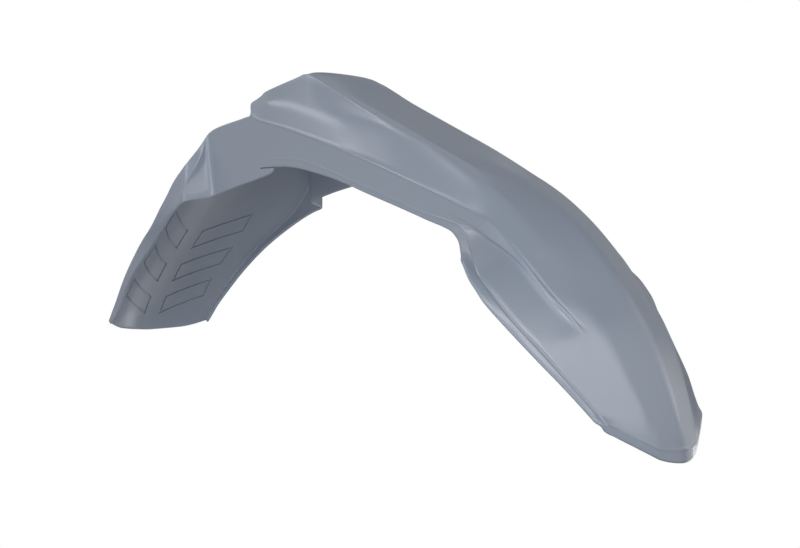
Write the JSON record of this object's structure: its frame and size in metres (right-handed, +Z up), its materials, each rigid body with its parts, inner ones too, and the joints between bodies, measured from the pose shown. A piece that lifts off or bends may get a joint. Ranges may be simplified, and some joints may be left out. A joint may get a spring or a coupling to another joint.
{
  "type": "motorcycle front mudguard",
  "caption": "High-mounted front mudguard for an off-road motorcycle: one moulded shell with a raised hump, side wings, flared tail and a bolted deck.",
  "frame": {"origin": "centre of the clamp bolts, on the top face of the deck", "axes": "+X forward to the tip of the beak, +Z up square to the deck, +Y to the rider's left"},
  "size_m": [0.716, 0.245, 0.3586],
  "materials": {
    "shell_plastic": "satin moulded, through-coloured blue grey"
  },
  "bodies": {
    "root": {"mudguard": "shell_plastic"}
  },
  "joints": []
}
